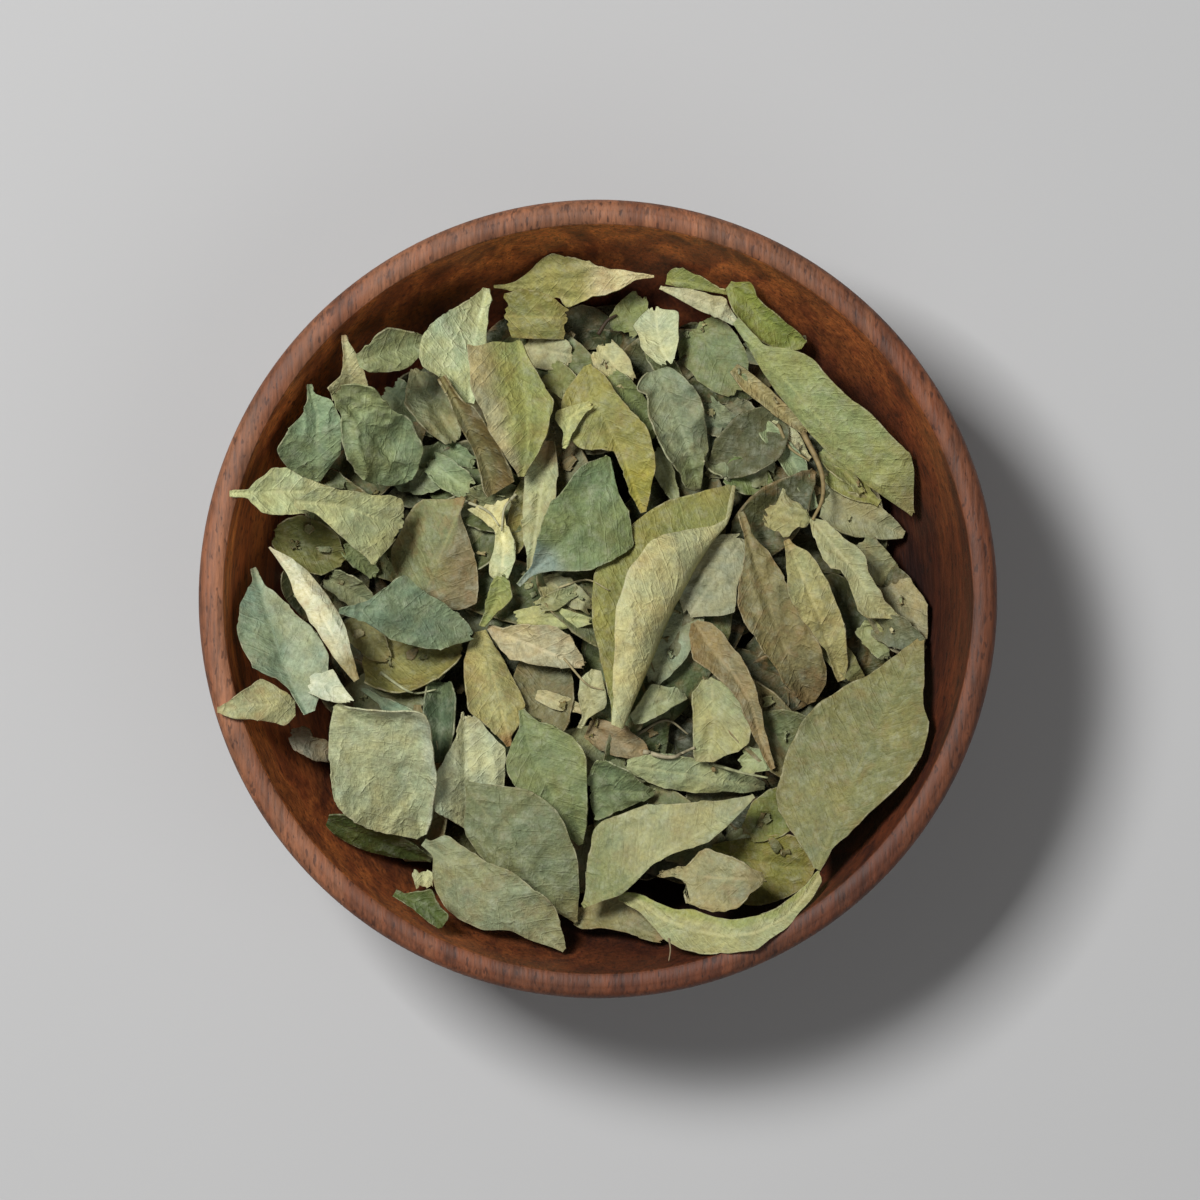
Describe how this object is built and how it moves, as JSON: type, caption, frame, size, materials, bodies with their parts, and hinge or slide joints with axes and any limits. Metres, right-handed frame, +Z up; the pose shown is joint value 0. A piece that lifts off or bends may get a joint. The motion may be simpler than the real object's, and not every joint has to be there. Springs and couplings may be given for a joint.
{
  "type": "bowl of dried curry leaves",
  "caption": "Round turned wooden bowl filled almost to the rim with loose dried curry leaves, whole, curled and broken, lying in a tumbled heap.",
  "frame": {"origin": "centre of the bowl's foot, on the surface that it stands on", "axes": "+Z up along the bowl's axis; +Y towards the top of the picture, +X to its right"},
  "size_m": [0.14, 0.14, 0.0544],
  "materials": {
    "bowl": "turned reddish brown hardwood, fine straight grain, thin satin oil finish, dry on the rim",
    "leaf_heap": "dried leaves, matt olive green with brown patches",
    "leaf_grey_green": "dried leaf, matt grey green, fine pale veins",
    "leaf_green": "dried leaf, matt sage green, fine pale veins",
    "leaf_olive": "dried leaf, faintly waxy olive green, fine veins",
    "leaf_pale": "dried leaf, matt pale underside, cream to pale green",
    "leaf_brown": "dried leaf, matt browned olive, mottled"
  },
  "bodies": {
    "root": {"bowl": "bowl", "heap": "leaf_heap", "leaf_w5": "leaf_olive", "leaf_w3": "leaf_pale", "leaf_w4": "leaf_green", "leaf_sw2": "leaf_brown", "leaf_s9": "leaf_olive", "leaf_ne1b": "leaf_green", "leaf_n8": "leaf_green", "leaf_n1": "leaf_pale", "leaf_ne1": "leaf_green", "leaf_w14": "leaf_pale", "leaf_sw4": "leaf_pale", "leaf_sw5": "leaf_green", "leaf_w1": "leaf_grey_green", "leaf_w2": "leaf_grey_green", "leaf_w9": "leaf_pale", "leaf_w13": "leaf_grey_green", "leaf_w6": "leaf_green", "leaf_w7": "leaf_olive", "leaf_w18": "leaf_brown", "leaf_c7": "leaf_olive", "leaf_c3": "leaf_olive", "leaf_c8": "leaf_brown", "leaf_c11": "leaf_pale", "leaf_c15": "leaf_olive", "leaf_c16": "leaf_green", "leaf_c14": "leaf_grey_green", "leaf_e7": "leaf_brown", "leaf_e4": "leaf_olive", "leaf_n2": "leaf_olive", "leaf_n15": "leaf_grey_green", "leaf_n6": "leaf_olive", "leaf_n9": "leaf_green", "leaf_s1": "leaf_pale", "leaf_s4": "leaf_green", "leaf_s7": "leaf_pale", "leaf_sw1": "leaf_pale", "leaf_n10": "leaf_pale", "leaf_w10": "leaf_pale", "leaf_w12": "leaf_pale", "leaf_w17": "leaf_grey_green", "leaf_w15": "leaf_pale", "leaf_n4": "leaf_olive", "leaf_n7": "leaf_pale", "leaf_s2": "leaf_green", "leaf_s8": "leaf_brown", "leaf_e8": "leaf_brown", "leaf_e6": "leaf_brown", "leaf_e5": "leaf_olive", "leaf_e1": "leaf_green", "leaf_c4": "leaf_pale", "leaf_c4b": "leaf_olive", "leaf_c1": "leaf_olive", "leaf_s3": "leaf_green", "leaf_s6": "leaf_green", "leaf_sw6": "leaf_green", "leaf_se1": "leaf_brown", "leaf_c2": "leaf_grey_green"}
  },
  "joints": []
}
